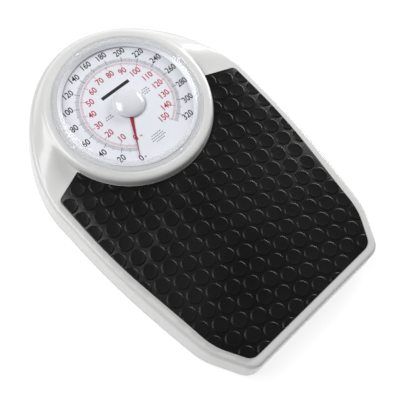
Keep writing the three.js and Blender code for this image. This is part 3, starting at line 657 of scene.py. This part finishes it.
ticks("ticks_black", ink_black, LB_STEP, 331, lambda i: 58.2,
      lambda i: 65.2 if i % 20 == 0 else (64.0 if i % 10 == 0 else 62.8),
      lambda i: 0.30 if i % 20 == 0 else (0.20 if i % 10 == 0 else 0.13))
ticks("ticks_red", ink_red, KG_STEP / 2, 301,
      lambda i: 51.4 if i % 20 == 0 else (53.2 if i % 10 == 0 else 54.4),
      lambda i: 57.2, lambda i: 0.26 if i % 20 == 0 else 0.13)

blk = ([], [])
red = ([], [])
grey = ([], [])
for i in range(17):
    x, y = clock(ZERO - 1.0 + LB_STEP * 20 * i, LB_TEXT_R)
    words(str(i * 20), 11.2, 0.86, 0.19, x, y, blk)
for i in range(16):
    x, y = clock(ZERO - 1.0 + KG_STEP * 10 * i + 1.2, KG_TEXT_R)
    words(str(i * 10), 11.2, 0.86, 0.19, x, y, red)
x, y = clock(ZERO - 5.5, 71.5)
words("lb", 3.6, 0.9, 0.05, x, y, blk)
x, y = clock(ZERO - 8.8, 44.5)
words("kg", 3.6, 0.9, 0.05, x, y, red)


def bars(target, rows):
    """Add printed bars, each given by its centre, width and height."""
    for cx, cy, w, h in rows:
        b = len(target[0])
        for sx, sy in ((-1, -1), (1, -1), (1, 1), (-1, 1)):
            target[0].append((cx + sx * w / 2, DIAL_Y + cy + sy * h / 2, PRINT_Z))
        target[1].append((b, b + 1, b + 2, b + 3))


bars(blk, [(0, 24.2, 42, 4.3)])


def fine_rules(target, cx, cy, widths, gap=3.0):
    """Rows of short dashes in the place of small print."""
    rows = []
    for j, wd in enumerate(widths):
        y = cy + ((len(widths) - 1) / 2 - j) * gap
        n = max(3, int(wd / 2.6))
        pitch = wd / n
        for k in range(n):
            share = 0.55 + 0.3 * ((k * 7 + j * 3) % 5) / 5
            rows.append((cx - wd / 2 + pitch * (k + 0.5), y, pitch * share, 1.15))
    bars(target, rows)


fine_rules(grey, -30, 0.3, (9, 12))
fine_rules(grey, 28, 0.5, (9, 12, 10))
fine_rules(grey, -1, -55, (15, 19, 21, 13))

for name, data, mat in (("print_black", blk, ink_black), ("print_red", red, ink_red),
                        ("print_grey", grey, ink_grey)):
    ob = make(name, data[0], data[1], mat, None)
    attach(ob, "base")

# ---------------------------------------------------------------- hub dome and needle
DOME_R, DOME_IN_R, DOME_RIM_Z = 19.5, 18.2, 52.9
DOME_RISE, DOME_IN_RISE = 7.25, 6.0
prof = [(17.9, 52.25), (18.9, 52.2), (19.35, 52.45), (DOME_R, DOME_RIM_Z)]
for i in range(1, 14):
    a = i / 14 * math.pi / 2
    prof.append((DOME_R * math.cos(a), DOME_RIM_Z + DOME_RISE * math.sin(a)))
prof.append((0.0, DOME_RIM_Z + DOME_RISE))
inner = [(0.0, DOME_RIM_Z + DOME_IN_RISE)]
for i in range(8, -1, -1):
    a = i / 9 * math.pi / 2
    inner.append((DOME_IN_R * math.cos(a), DOME_RIM_Z + DOME_IN_RISE * math.sin(a)))
inner.append(prof[0])
dome = lathe("hub_cap", prof + inner, dome_white, n=128, closed=False, smooth=50)
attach(dome, "pointer")
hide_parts("hub_dome")


def build_needle():
    """Tapered blade with a raised middle, from radius, half width and ridge height."""
    rows = [(0.0, 2.6, 0.25), (8, 2.55, 0.25), (18, 2.35, 0.3), (35, 1.5, 0.26), (52, 0.75, 0.2),
            (62, 0.5, 0.16), (69.4, 0.36, 0.12), (70, 0.2, 0.06)]
    verts, faces = [], []
    a = math.radians(ZERO)
    s, c = math.sin(a), math.cos(a)
    for r, w, ridge in rows:
        for off, z in ((-w, 51.35), (-w, 51.6), (0, 51.6 + ridge), (w, 51.6), (w, 51.35)):
            verts.append((r * s + off * c, DIAL_Y + r * c - off * s, z))
    n = 5
    for i in range(len(rows) - 1):
        for k in range(n):
            k2 = (k + 1) % n
            faces.append((i * n + k, (i + 1) * n + k, (i + 1) * n + k2, i * n + k2))
    faces.append((0, 1, 2, 3, 4))
    e = (len(rows) - 1) * n
    faces.append((e + 4, e + 3, e + 2, e + 1, e))
    return make("needle_blade", verts, faces, needle_red, 20)


needle = build_needle()
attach(needle, "pointer")
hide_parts("pointer")

# ---------------------------------------------------------------- finishes of the CAD nodes that show
finish = {"dark_steel": galvan, "zinc_steel": zinc, "brass": brass, "foot_rubber": foot_rub,
          "grey_plastic": grey_pl}
slot_of = {s["node"]: s["material_slot"] for s in record["subparts"]}
for node, ob in frame["nodes"].items():
    if ob.hide_render:
        continue
    mat = finish.get(slot_of[node], zinc)
    ob.data.materials.clear()
    ob.data.materials.append(mat)

# ---------------------------------------------------------------- floor, lights, camera
floor_mat, nt, out = new_mat("studio_floor")
N, L = nt.nodes, nt.links
b = N.new("ShaderNodeBsdfPrincipled")
b.inputs["Base Color"].default_value = (0.30, 0.30, 0.30, 1)
b.inputs["Roughness"].default_value = 0.9
b.inputs["Specular IOR Level"].default_value = 0.0
b.inputs["Emission Color"].default_value = (1, 1, 1, 1)
b.inputs["Emission Strength"].default_value = 0.84
L.new(b.outputs[0], out.inputs[0])
bpy.ops.mesh.primitive_plane_add(size=8, location=(0, 0, -0.0002))
floor = bpy.context.object
floor.name = "studio_floor"
floor.data.materials.append(floor_mat)

world = bpy.data.worlds.new("studio")
bpy.context.scene.world = world
world.use_nodes = True
world.node_tree.nodes["Background"].inputs[0].default_value = (1, 1, 1, 1)
world.node_tree.nodes["Background"].inputs[1].default_value = 0.17


def area(name, loc, target, size, power):
    """Rectangular soft light aimed at a point."""
    li = bpy.data.lights.new(name, "AREA")
    li.shape = "RECTANGLE"
    li.size, li.size_y = size
    li.energy = power
    ob = bpy.data.objects.new(name, li)
    bpy.context.scene.collection.objects.link(ob)
    ob.location = loc
    d = Vector(target) - Vector(loc)
    ob.rotation_euler = d.to_track_quat("-Z", "Y").to_euler()


area("window_right", (1.45, 0.30, 0.62), (0, 0, 0.04), (0.9, 0.42), 19)
area("soft_top", (-0.72, 0.75, 1.40), (0, 0, 0), (1.1, 0.9), 21)

cam = bpy.data.cameras.new("camera")
cam.lens = 57.09
cam.sensor_width = 36
cam.clip_start = 0.01
camera = bpy.data.objects.new("camera", cam)
bpy.context.scene.collection.objects.link(camera)
az, el, roll = math.radians(-62.00), math.radians(68.65), math.radians(20.21)
dist = 0.7362
back = Vector((math.sin(az) * math.cos(el), -math.cos(az) * math.cos(el), math.sin(el)))
aim = Vector((-0.01697, -0.03819, 0.0468))
rgt = Vector((0, 0, 1)).cross(back).normalized()
up = back.cross(rgt).normalized()
r2 = rgt * math.cos(roll) + up * math.sin(roll)
u2 = up * math.cos(roll) - rgt * math.sin(roll)
m = Matrix((r2, u2, back)).transposed().to_4x4()
m.translation = aim + back * dist
camera.matrix_world = m
bpy.context.scene.camera = camera
bpy.context.scene.view_settings.view_transform = "Standard"
bpy.context.scene.view_settings.look = "None"
